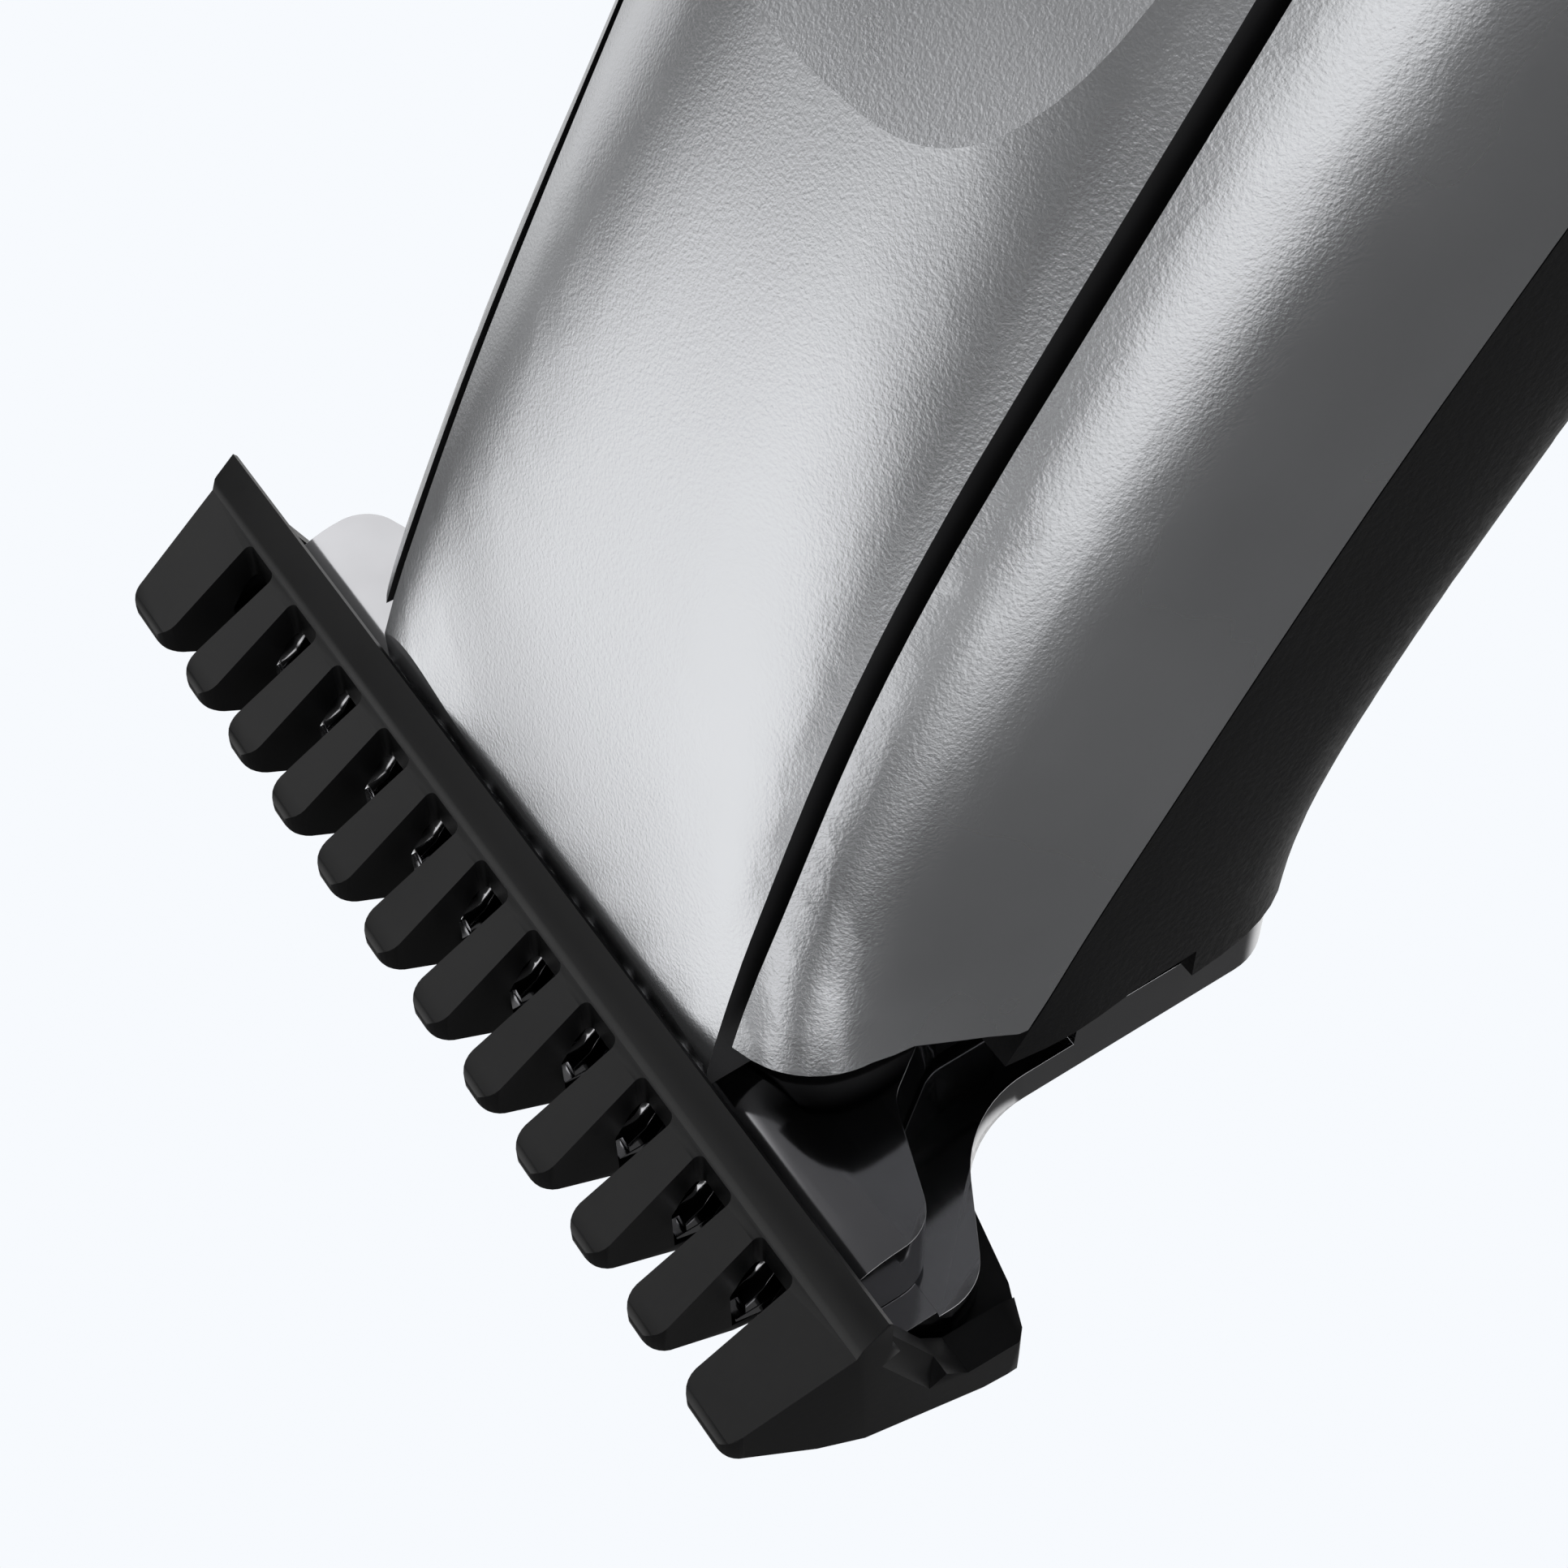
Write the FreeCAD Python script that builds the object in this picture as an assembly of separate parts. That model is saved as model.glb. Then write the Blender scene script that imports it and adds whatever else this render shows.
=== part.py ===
import FreeCAD, Part
import math
import os
from FreeCAD import Vector

# Cordless T-blade hair clipper, millimetres, standing on its tail.
# +Z runs from the tail up to the blades, the front face looks along -Y, X is the width.
# The blades lie in their own frame: x is the width, y runs from the front of the
# blades to their rear, z runs out along the teeth. Its origin is between the tips
# of the guide comb's teeth.

os.makedirs("parts", exist_ok=True)

# ---- driving dimensions -----------------------------------------------------
TIP_HEIGHT = 152.0          # comb tooth tips above the flat base
TIP_FORWARD = -15.0         # comb tooth tips from the handle's middle plane
BLADE_TILT = 60.0           # blade plane against the cross-section of the handle

WALL = 1.8                  # casing wall
SPLIT_Y = -2.25             # side panels meet the rear shell here
PANEL_GAP = 0.22            # front panel's side of the parting groove
GROOVE_GAP = 0.42           # side panel's side of the groove
GROOVE_DEPTH = 1.0          # down to the side panel's lip
FLUSH_GAP = 0.04            # half of the flush line between panel and rear shell
CAP_HEIGHT = 7.5
SECTION_STEP = 10.5         # between the cross-sections of the handle's surface
SECTION_POINTS = 40

# Handle profile: height, half width, middle, front crown, rear, corner fullness
# front and rear, taper of the flanks towards the front.
STATIONS = [
    (0.0, 14.6, 0.0, -12.2, 12.2, 2.8, 2.8, 0.00),
    (1.2, 15.9, 0.0, -13.6, 13.6, 2.8, 2.8, 0.00),
    (4.0, 16.8, 0.0, -14.6, 14.6, 2.8, 2.8, 0.00),
    (12.0, 17.7, 0.0, -15.4, 15.3, 2.8, 2.8, 0.00),
    (35.0, 18.6, 0.0, -16.0, 16.0, 2.8, 2.8, 0.02),
    (65.0, 18.4, -0.2, -15.9, 15.5, 2.8, 3.0, 0.04),
    (90.0, 17.0, -1.4, -15.4, 12.8, 2.9, 3.6, 0.06),
    (108.0, 15.7, -2.2, -15.1, 10.3, 3.0, 4.4, 0.08),
    (117.0, 15.2, -2.4, -15.0, 9.7, 3.2, 5.0, 0.08),
    (125.0, 15.0, -2.5, -14.8, 9.5, 3.7, 5.0, 0.09),
    (131.5, 14.9, -2.5, -14.3, 10.3, 4.4, 5.0, 0.10),
    (135.5, 14.9, -2.5, -13.8, 11.6, 5.2, 5.0, 0.11),
    (139.0, 14.9, -2.5, -13.3, 13.1, 6.1, 5.0, 0.12),
    (145.5, 14.8, -2.5, -12.0, 15.8, 7.0, 5.0, 0.13),
    (151.0, 14.7, -2.5, -10.6, 18.0, 7.0, 5.0, 0.13),
]
# Half width of the front panel at each height.
PANEL_EDGE = [(0.0, 10.6), (12.0, 11.6), (40.0, 12.4), (75.0, 12.2), (100.0, 11.2),
              (118.0, 10.45), (126.0, 10.30), (132.0, 10.42), (139.0, 10.75),
              (145.5, 10.95), (151.0, 11.05)]

# Blades, in the blade frame.
LAND_Y = 1.72               # front land of the fixed blade
HOLLOW_Y = 2.17             # hollow-ground middle
RAIL_Y = 1.00               # raised rear rail
FIXED_BOTTOM_Y = 3.85
LAND_REAR_Z = -8.7
RAIL_FRONT_Z = -18.8
FIXED_REAR_Z = -28.7
FIXED_HALF = 20.0
STEM_HALF = 14.2
FIXED_TIP_Z = -3.1
MOVING_HALF = 18.85
MOVING_TOP_Y = -1.6
MOVING_BOTTOM_Y = LAND_Y - 0.06
MOVING_REAR_Z = -17.0
WAIST_HALF = 12.1
MOVING_TIP_Z = -3.5
CUT_PITCH = 1.2             # blade teeth
CUT_GAP = 0.52
CUT_ROOT_Z = -6.6
PANEL_END_Y = -2.2          # neck end of the front panel
NECK_END = [(-2.2, -60.0), (-2.2, -15.6), (-3.3, -13.6), (-4.6, -11.6), (-5.0, -10.0),
            (-5.0, 40.0), (40.0, 40.0), (40.0, -60.0)]   # side panels' cut, y and z
SEAT_SCREW_X = 7.0
SEAT_SCREW_Z = -24.4
NOSE_END_Z = -5.95          # front panel ends behind the comb's bar

# Guide comb.
COMB_PITCH = 3.5
COMB_TEETH = 12
SLOT_ROOT = 2.05
SLOT_TIP = 1.65
COMB_HALF = 21.8
COMB_TIP_HALF = 20.9
COMB_ROUND = 0.72           # tooth tips' corners
COMB_TIP_Z = 0.16
CORNER_STEPS = 6
SLOT_ROOT_Z = -4.25
CHANNEL_HALF = 20.3         # inside the comb's end walls

# Drive.
MOTOR_Y = -4.0
MOTOR_R = 10.2
MOTOR_FLAT = 7.7
MOTOR_LOW = 109.5
MOTOR_HIGH = 131.0
MOUNT_TOP = 133.0
ECCENTRIC = 0.8
PIN_R = 0.9
PIN_CLEARANCE = 1.7         # beside the pin: throw, cutter travel and 0.1 spare

# Thumb dish and button.
DISH_HEIGHT = 105.5
DISH_DEPTH = 1.0
DISH_RADIUS = 60.0
BUTTON_HEIGHT = 104.0
BUTTON_R = 4.35

# Electronics.
CASE_SCREWS = [(x, height) for x in (-9.6, 9.6) for height in (20.0, 98.0)]
TAIL_SCREW_X = 9.0
PORT_Y = 0.0
LIGHT_HEIGHT = 88.0
CELL_R = 9.1
CELL_LOW = 26.0
CELL_LENGTH = 50.0
CELL_Y = 3.0
BOARD_REAR = -9.4
BOARD_FRONT = -10.6


# ---- helpers ----------------------------------------------------------------
def save(node, shape):
    shape.exportStep("parts/" + node + ".step")


def box(x0, x1, y0, y1, z0, z1):
    return Part.makeBox(x1 - x0, y1 - y0, z1 - z0, Vector(x0, y0, z0))


def rod(radius, start, end):
    axis = end.sub(start)
    return Part.makeCylinder(radius, axis.Length, start, axis)


def outline(points, extrusion):
    wire = Part.makePolygon(points + [points[0]])
    return Part.Face(wire).extrude(extrusion)


def profile(points, half):
    """Solid of a side profile given as (y, z) pairs, across the width."""
    return outline([Vector(-half, y, z) for y, z in points], Vector(2 * half, 0, 0))


def span(edge, axis):
    """How far an edge runs along an axis, 0 to 2 for x to z."""
    ends = [vertex.Point[axis] for vertex in edge.Vertexes]
    return max(ends) - min(ends)


def upright_edges(shape):
    return [edge for edge in shape.Edges if span(edge, 2) > 1]


def fuse(shapes):
    whole = shapes[0].fuse(shapes[1:]) if len(shapes) > 1 else shapes[0]
    return whole.removeSplitter()


def to_head(shape):
    """Moves a shape from the blade frame to the clipper's frame."""
    placed = shape.copy()
    placed.rotate(Vector(0, 0, 0), Vector(1, 0, 0), BLADE_TILT)
    placed.translate(Vector(0, TIP_FORWARD, TIP_HEIGHT))
    return placed


def smooth(stations, height):
    """Cubic through (height, value) stations."""
    last = len(stations) - 1
    i = max(k for k in range(last) if stations[k][0] <= height or k == 0)

    def slope(k):
        a = stations[max(k - 1, 0)]
        b = stations[min(k + 1, last)]
        return (b[1] - a[1]) / (b[0] - a[0])

    (h0, v0), (h1, v1) = stations[i], stations[i + 1]
    step = h1 - h0
    t = (height - h0) / step
    return ((2 * t ** 3 - 3 * t ** 2 + 1) * v0 + (t ** 3 - 2 * t ** 2 + t) * step * slope(i)
            + (3 * t ** 2 - 2 * t ** 3) * v1 + (t ** 3 - t ** 2) * step * slope(i + 1))


# ---- handle surface ---------------------------------------------------------
def section_point(height, angle, inset):
    """Point of the handle's cross-section, a superellipse fuller at the rear."""
    half, mid, front, rear, full_front, full_rear, taper = (
        smooth([(s[0], s[k]) for s in STATIONS], height) for k in range(1, 8))
    half -= inset
    to_front = angle > math.pi
    depth = (mid - front if to_front else rear - mid) - inset
    power = full_front if to_front else full_rear
    c, s = abs(math.cos(angle)), abs(math.sin(angle))
    r = ((c / half) ** power + (s / depth) ** power) ** (-1 / power)
    x, y = r * math.cos(angle), r * math.sin(angle)
    if to_front:
        x *= 1 - taper * (-y / depth)
    return Vector(x, mid + y, height)


def handle(inset, low, high):
    """The handle's body from one height to another, drawn in by the inset."""
    count = max(3, round((high - low) / SECTION_STEP))
    heights = [low + (high - low) * k / count for k in range(count + 1)]
    if low == 0.0:
        heights[1:1] = [1.2, 3.0]
    wires = []
    for height in heights:
        points = []
        for k in range(SECTION_POINTS):
            angle = 2 * math.pi * (k + 0.5) / SECTION_POINTS
            points.append(section_point(height, angle, inset))
        curve = Part.BSplineCurve()
        curve.interpolate(Points=points, PeriodicFlag=True)
        wires.append(Part.Wire(curve.toShape()))
    return Part.makeLoft(wires, True, False)


def panel_prism(clearance):
    """Everything inside the front panel's side edges, drawn in by the clearance."""
    right = [Vector(half - clearance, -30, height) for height, half in PANEL_EDGE]
    left = [Vector(-p.x, p.y, p.z) for p in right]
    edges = [curve_through(right), Part.makeLine(right[-1], left[-1]),
             curve_through(left[::-1]), Part.makeLine(left[0], right[0])]
    return Part.Face(Part.Wire(edges)).extrude(Vector(0, 30 - 7.0, 0))


def curve_through(points):
    curve = Part.BSplineCurve()
    curve.interpolate(Points=points)
    return curve.toShape()


OUTER = handle(0.0, 0.0, 150.0)
INNER = handle(WALL, 2.5, 150.0)
CASING = OUTER.cut(INNER)
GROOVE_FLOOR = handle(GROOVE_DEPTH, 0.5, 150.0)
ABOVE_CAP = box(-30, 30, -30, 30, CAP_HEIGHT + 0.1, 160)


def beyond(y0, z0=-60.0):
    """Half space behind y0 and out past z0, in the blade frame."""
    return to_head(box(-40, 40, y0, 40, z0, 40))


# ---- casing -----------------------------------------------------------------
def front_panel():
    panel = CASING.common(panel_prism(PANEL_GAP)).common(ABOVE_CAP)
    panel = panel.cut(beyond(PANEL_END_Y - 0.2))
    panel = panel.cut(to_head(box(-40, 40, -40, 40, NOSE_END_Z, 40)))
    for x, height in CASE_SCREWS:
        boss = rod(1.75, Vector(x, -14.2, height), Vector(x, -8.7, height))
        panel = panel.fuse(boss.common(OUTER))
    dish_y = -15.05 + DISH_DEPTH - DISH_RADIUS
    dish = rod(DISH_RADIUS, Vector(-30, dish_y, DISH_HEIGHT), Vector(30, dish_y, DISH_HEIGHT))
    panel = panel.cut(dish)
    button_hole = rod(BUTTON_R + 0.12, Vector(0, -20, BUTTON_HEIGHT), Vector(0, -11, BUTTON_HEIGHT))
    light_hole = rod(1.1, Vector(0, -20, LIGHT_HEIGHT), Vector(0, -11, LIGHT_HEIGHT))
    panel = panel.cut([button_hole, light_hole])
    for x, height in CASE_SCREWS:
        panel = panel.cut(rod(0.85, Vector(x, -12.6, height), Vector(x, -8.0, height)))
    return panel


def side_panel(side):
    half = box(0, 30, -30, SPLIT_Y - FLUSH_GAP, 0, 160)
    if side < 0:
        half = half.mirror(Vector(0, 0, 0), Vector(1, 0, 0))
    panel = CASING.common(half).cut(panel_prism(-PANEL_GAP)).common(ABOVE_CAP)
    panel = panel.cut(box(-10.2, 10.2, -30, -7, 0, 160))
    groove = panel_prism(-GROOVE_GAP).cut(GROOVE_FLOOR)
    panel = panel.cut(groove)
    panel = panel.cut(to_head(profile(NECK_END, 40)))
    return panel.cut(to_head(box(-40, 40, -40, 40, -6.3, 40)))


def rear_shell():
    shell = CASING.common(box(-30, 30, SPLIT_Y + FLUSH_GAP, 30, 0, 160)).common(ABOVE_CAP)
    shell = shell.cut(beyond(RAIL_Y - 0.02))
    return shell.cut(beyond(-0.6, -23.3))


def tail_cap():
    cap = OUTER.common(box(-30, 30, -30, 30, 0, CAP_HEIGHT))
    cap = cap.cut(handle(WALL, 3.0, 12.0))
    port = box(-4.6, 4.6, PORT_Y - 1.75, PORT_Y + 1.75, -1, 4)
    port = port.makeFillet(1.6, upright_edges(port))
    cap = cap.cut(port)
    for x in (-TAIL_SCREW_X, TAIL_SCREW_X):
        cap = cap.fuse(rod(2.4, Vector(x, 0, 2.5), Vector(x, 0, CAP_HEIGHT)))
        cap = cap.cut(rod(1.15, Vector(x, 0, -1), Vector(x, 0, 10)))
        cap = cap.cut(rod(2.15, Vector(x, 0, -1), Vector(x, 0, 1.6)))
    return cap


# ---- blades -----------------------------------------------------------------
def t_outline():
    """Outline of the fixed blade, in the blade frame's x and z, as a solid."""
    fillet = 4.6
    slant = math.radians(60)
    corner = 2.2
    rear_round = 2.6
    start_z = -16.6
    a = Vector(STEM_HALF, 0, start_z)
    centre_1 = Vector(STEM_HALF + fillet, 0, start_z)
    b = centre_1.add(Vector(-fillet * math.cos(slant), 0, fillet * math.sin(slant)))
    mid_1 = centre_1.add(Vector(-fillet * math.cos(slant / 2), 0, fillet * math.sin(slant / 2)))
    along = Vector(math.sin(slant), 0, math.cos(slant))
    run = (FIXED_HALF - b.x - corner * (1 - math.cos(slant))) / along.x
    c = b.add(along.multiply(run))
    centre_2 = c.add(Vector(-corner * math.cos(slant), 0, corner * math.sin(slant)))
    mid_2 = centre_2.add(Vector(corner * math.cos(slant / 2), 0, -corner * math.sin(slant / 2)))
    d = centre_2.add(Vector(corner, 0, 0))
    e = Vector(FIXED_HALF, 0, FIXED_TIP_Z)
    f = Vector(STEM_HALF, 0, FIXED_REAR_Z + rear_round)
    g = Vector(STEM_HALF - rear_round, 0, FIXED_REAR_Z)
    mid_3 = Vector(STEM_HALF - rear_round * (1 - math.sin(math.pi / 4)), 0,
                   FIXED_REAR_Z + rear_round * (1 - math.cos(math.pi / 4)))
    right = [Part.makeLine(f, a), Part.Arc(a, mid_1, b).toShape(), Part.makeLine(b, c),
             Part.Arc(c, mid_2, d).toShape(), Part.makeLine(d, e)]
    rear = Part.Arc(g, mid_3, f).toShape()
    half = [rear] + right

    def flipped(edge):
        return edge.mirror(Vector(0, 0, 0), Vector(1, 0, 0))

    edges = half + [flipped(edge) for edge in half]
    edges.append(Part.makeLine(e, Vector(-e.x, e.y, e.z)))
    edges.append(Part.makeLine(g, Vector(-g.x, g.y, g.z)))
    wire = Part.Wire(Part.__sortEdges__(edges))
    return Part.Face(wire).extrude(Vector(0, 10, 0))


def tooth_gaps(first, last, root, tip, y0, y1):
    gaps = []
    count = int(round((last - first) / CUT_PITCH))
    for k in range(count + 1):
        x = first + k * CUT_PITCH
        gaps.append(box(x - CUT_GAP / 2, x + CUT_GAP / 2, y0, y1, root, tip))
    return gaps


def fixed_blade():
    side = [(LAND_Y, FIXED_TIP_Z), (LAND_Y, LAND_REAR_Z), (HOLLOW_Y, LAND_REAR_Z - 0.1),
            (HOLLOW_Y, RAIL_FRONT_Z + 0.1), (RAIL_Y, RAIL_FRONT_Z), (RAIL_Y, FIXED_REAR_Z),
            (FIXED_BOTTOM_Y, FIXED_REAR_Z), (FIXED_BOTTOM_Y, -8.7), (LAND_Y + 0.14, FIXED_TIP_Z)]
    blade = profile(side, 30).common(t_outline())
    blade = blade.cut(tooth_gaps(-16.2 * CUT_PITCH + 0.24, 16.2 * CUT_PITCH, CUT_ROOT_Z, 0, 0, 5))
    for x in (-SEAT_SCREW_X, SEAT_SCREW_X):
        blade = blade.cut(rod(1.3, Vector(x, 0, SEAT_SCREW_Z), Vector(x, 6, SEAT_SCREW_Z)))
        blade = blade.cut(rod(2.3, Vector(x, 3.1, SEAT_SCREW_Z), Vector(x, 6, SEAT_SCREW_Z)))
    return to_head(blade)


def moving_outline():
    lobe_z = -9.3
    points = [Vector(MOVING_HALF, -8, MOVING_TIP_Z), Vector(MOVING_HALF, -8, lobe_z),
              Vector(14.2, -8, -11.0), Vector(WAIST_HALF, -8, -14.0), Vector(WAIST_HALF, -8, MOVING_REAR_Z)]
    points += [Vector(-p.x, p.y, p.z) for p in points[::-1]]
    solid = outline(points, Vector(0, 12, 0))
    upright = [e for e in solid.Edges if abs(e.Vertexes[0].Y - e.Vertexes[1].Y) > 5]

    def at(edge, x, z):
        p = edge.Vertexes[0].Point
        return abs(abs(p.x) - x) < 0.01 and abs(p.z - z) < 0.01

    lobes = [e for e in upright if at(e, MOVING_HALF, lobe_z)]
    solid = solid.makeFillet(1.7, lobes)
    upright = [e for e in solid.Edges if abs(e.Vertexes[0].Y - e.Vertexes[1].Y) > 5]
    waist = [e for e in upright if at(e, 14.2, -11.0) or at(e, WAIST_HALF, -14.0)]
    return solid.makeFillet(1.6, waist)


def moving_blade():
    arc_start = Vector(0, 0.75, -4.2)
    arc_mid = Vector(0, -0.97, -5.94)
    arc_end = Vector(0, MOVING_TOP_Y, -8.3)
    rear_top = Vector(0, MOVING_TOP_Y, MOVING_REAR_Z)
    rear_low = Vector(0, MOVING_BOTTOM_Y, MOVING_REAR_Z)
    tip_low = Vector(0, MOVING_BOTTOM_Y, MOVING_TIP_Z)
    tip_top = Vector(0, 1.15, MOVING_TIP_Z)
    corners = [arc_end, rear_top, rear_low, tip_low, tip_top, arc_start]
    edges = [Part.makeLine(p, q) for p, q in zip(corners, corners[1:])]
    edges.append(Part.Arc(arc_start, arc_mid, arc_end).toShape())
    solid = Part.Face(Part.Wire(edges)).extrude(Vector(60, 0, 0))
    solid.translate(Vector(-30, 0, 0))
    blade = solid.common(moving_outline())
    gaps = tooth_gaps(-15 * CUT_PITCH, 15 * CUT_PITCH, CUT_ROOT_Z + 0.8, 0, -1, 5)
    return to_head(blade.cut(gaps))


def blade_seat():
    block = box(-12.6, 12.6, -5.2, RAIL_Y - 0.04, -29.0, -21.6)
    plate = box(-12.6, 12.6, -5.2, -2.7, -21.6, -7.6)
    window = box(-8.8, 8.8, -8.0, 0.0, -20.2, -9.4)
    seat = block.fuse(plate).cut(window)
    for x in (-SEAT_SCREW_X, SEAT_SCREW_X):
        seat = seat.cut(rod(0.85, Vector(x, -4.0, SEAT_SCREW_Z), Vector(x, 2, SEAT_SCREW_Z)))
    keep = handle(WALL + 0.15, 110.0, 150.0)
    return to_head(seat).common(keep).removeSplitter()


def blade_screws():
    screws = []
    for x in (-SEAT_SCREW_X, SEAT_SCREW_X):
        shank = rod(0.85, Vector(x, -3.4, SEAT_SCREW_Z), Vector(x, 3.3, SEAT_SCREW_Z))
        head = rod(2.1, Vector(x, 3.1, SEAT_SCREW_Z), Vector(x, 4.3, SEAT_SCREW_Z))
        cross = box(x - 1.2, x + 1.2, 3.9, 5, SEAT_SCREW_Z - 0.25, SEAT_SCREW_Z + 0.25)
        cross_2 = box(x - 0.25, x + 0.25, 3.9, 5, SEAT_SCREW_Z - 1.2, SEAT_SCREW_Z + 1.2)
        screws.append(to_head(shank.fuse(head).cut([cross, cross_2])))
    return Part.makeCompound(screws)


def blade_spring():
    """Wire spring, a U whose legs press the moving blade on the fixed one."""
    wire_r = 0.4
    leg_x = 10.0
    bend = 1.5
    y = -2.12
    rear_z = -21.15
    k = bend * (1 - math.cos(math.pi / 4))
    edges = [
        Part.makeLine(Vector(-leg_x, y, -12.5), Vector(-leg_x, y, rear_z + bend)),
        Part.Arc(Vector(-leg_x, y, rear_z + bend), Vector(-leg_x + k, y, rear_z + k),
                 Vector(-leg_x + bend, y, rear_z)).toShape(),
        Part.makeLine(Vector(-leg_x + bend, y, rear_z), Vector(leg_x - bend, y, rear_z)),
        Part.Arc(Vector(leg_x - bend, y, rear_z), Vector(leg_x - k, y, rear_z + k),
                 Vector(leg_x, y, rear_z + bend)).toShape(),
        Part.makeLine(Vector(leg_x, y, rear_z + bend), Vector(leg_x, y, -12.5)),
    ]
    ring = Part.Wire(Part.makeCircle(wire_r, Vector(-leg_x, y, -12.5), Vector(0, 0, 1)))
    return to_head(Part.Wire(edges).makePipeShell([ring], True, True, 2))


# ---- guide comb -------------------------------------------------------------
def comb_tip(points_before, points_after, half):
    """Side profile with the rounded tooth tip between the two runs of points."""
    start = Vector(0, *points_before[-1])
    end = Vector(0, *points_after[0])
    edges = []
    for run in (points_before, points_after):
        for p, q in zip(run, run[1:]):
            edges.append(Part.makeLine(Vector(0, *p), Vector(0, *q)))
    edges.append(Part.Arc(start, Vector(0, -0.12, COMB_TIP_Z), end).toShape())
    edges.append(Part.makeLine(Vector(0, *points_after[-1]), Vector(0, *points_before[0])))
    wire = Part.Wire(Part.__sortEdges__(edges))
    solid = Part.Face(wire).extrude(Vector(half * 2, 0, 0))
    solid.translate(Vector(-half, 0, 0))
    return solid


def notch_bevel(start, end, side):
    """Wedge that bevels the outer edge of the notch in a comb's end wall."""
    size = 0.75
    run = Vector(0, end[0] - start[0], end[1] - start[1])
    outward = Vector(0, run.z, -run.y)
    outward.normalize()
    base = Vector(0, *start)
    corners = []
    for across, out in ((-size, 0.0), (0.1, -size - 0.1), (0.8, 0.5), (-size, 0.5)):
        corner = base.add(Vector(outward).multiply(out))
        corner.x = side * (COMB_HALF + across)
        corners.append(corner)
    return outline(corners, run)


def rounded_corner(flank):
    """Corner between a tooth's flank and its tip, where the flank is at this x."""
    corner = []
    for k in range(CORNER_STEPS + 1):
        angle = math.radians(90) * k / CORNER_STEPS
        x = flank + COMB_ROUND * (1 - math.cos(angle))
        z = COMB_TIP_Z - COMB_ROUND * (1 - math.sin(angle))
        corner.append(Vector(x, -8, z))
    corner.append(Vector(flank + COMB_ROUND, -8, 1.0))
    return corner


def guide_comb():
    bar_front = [(-2.0, -5.6), (-4.1, -5.6), (-4.3, -5.45), (-3.5, -4.5), (-3.05, -4.3), (-0.62, -0.1)]
    skin = [(0.42, -0.12), (2.3, -2.95), (5.1, -9.4), (5.3, -10.4)]
    rear_edge = [(5.3, -11.8), (4.9, -12.9), (4.0, -12.9)]
    inside = [(4.0, -8.8), (1.95, -2.95), (-0.1, -2.95), (-1.0, -3.6), (-1.9, -5.0)]
    channel = comb_tip(bar_front, skin + rear_edge + inside, CHANNEL_HALF)
    notch_low = (2.1, -7.8)
    notch_high = (-1.9, -5.9)
    wall_top = rear_edge + [(3.3, -11.0), (3.1, -8.7), notch_low, notch_high, (-2.6, -5.6)]
    wall = comb_tip([(-4.1, -5.6)] + bar_front[2:], skin + wall_top, COMB_HALF)
    wall = wall.cut(box(-CHANNEL_HALF, CHANNEL_HALF, -10, 10, -20, 5))
    comb = channel.fuse(wall)

    # Outer faces of the end teeth draw in towards the tips, the back plate's corners are cut.
    for side in (-1, 1):
        flank = [Vector(side * COMB_HALF, -8, -4.6), Vector(side * COMB_TIP_HALF, -8, 0.4),
                 Vector(side * 25, -8, 0.4), Vector(side * 25, -8, -4.6)]
        comb = comb.cut(outline(flank, Vector(0, 16, 0)))
        tip = [Vector(-side * p.x, p.y, p.z) for p in rounded_corner(-COMB_TIP_HALF - 0.17)]
        tip += [Vector(side * 25, -8, 1), Vector(side * 25, -8, COMB_TIP_Z - COMB_ROUND)]
        comb = comb.cut(outline(tip, Vector(0, 16, 0)))
        corner = [Vector(side * 15.5, 3, -12.95), Vector(side * 19.6, 3, -12.0),
                  Vector(side * 21.4, 3, -11.2), Vector(side * 22.2, 3, -10.4),
                  Vector(side * 22.2, 3, -14), Vector(side * 15.5, 3, -14)]
        comb = comb.cut(outline(corner, Vector(0, 4, 0)))
        comb = comb.cut(notch_bevel(notch_high, notch_low, side))

    for k in range(COMB_TEETH - 1):
        x = (k - (COMB_TEETH - 2) / 2) * COMB_PITCH
        half = [Vector(SLOT_ROOT / 2, -8, SLOT_ROOT_Z)] + rounded_corner(SLOT_TIP / 2)
        other = [Vector(-p.x, p.y, p.z) for p in half[::-1]]
        slot = outline(half + other, Vector(0, 16, 0))
        roots = []
        for edge in slot.Edges:
            if span(edge, 1) > 5 and edge.Vertexes[0].Z < SLOT_ROOT_Z + 0.01:
                roots.append(edge)
        slot = slot.makeFillet(0.3, roots)
        slot.translate(Vector(x, 0, 0))
        comb = comb.cut(slot)
    return to_head(comb.removeSplitter())


# ---- drive ------------------------------------------------------------------
def cam_follower():
    pad = to_head(box(-7.0, 7.0, -3.4, MOVING_TOP_Y, -16.6, -10.2))
    arm = box(-4.7, 4.7, MOTOR_Y - 3.1, MOTOR_Y + 3.1, 136.6, 149)
    arm = arm.cut(beyond(MOVING_TOP_Y))
    slot_half = PIN_R + PIN_CLEARANCE
    slot = box(-slot_half, slot_half, MOTOR_Y - 2.1, MOTOR_Y + 2.1, 130, 141.0)
    body = pad.fuse(arm).cut(slot)
    return body.cut(to_head(box(-30, 30, -20, 5, -9.9, 10))).removeSplitter()


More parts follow.
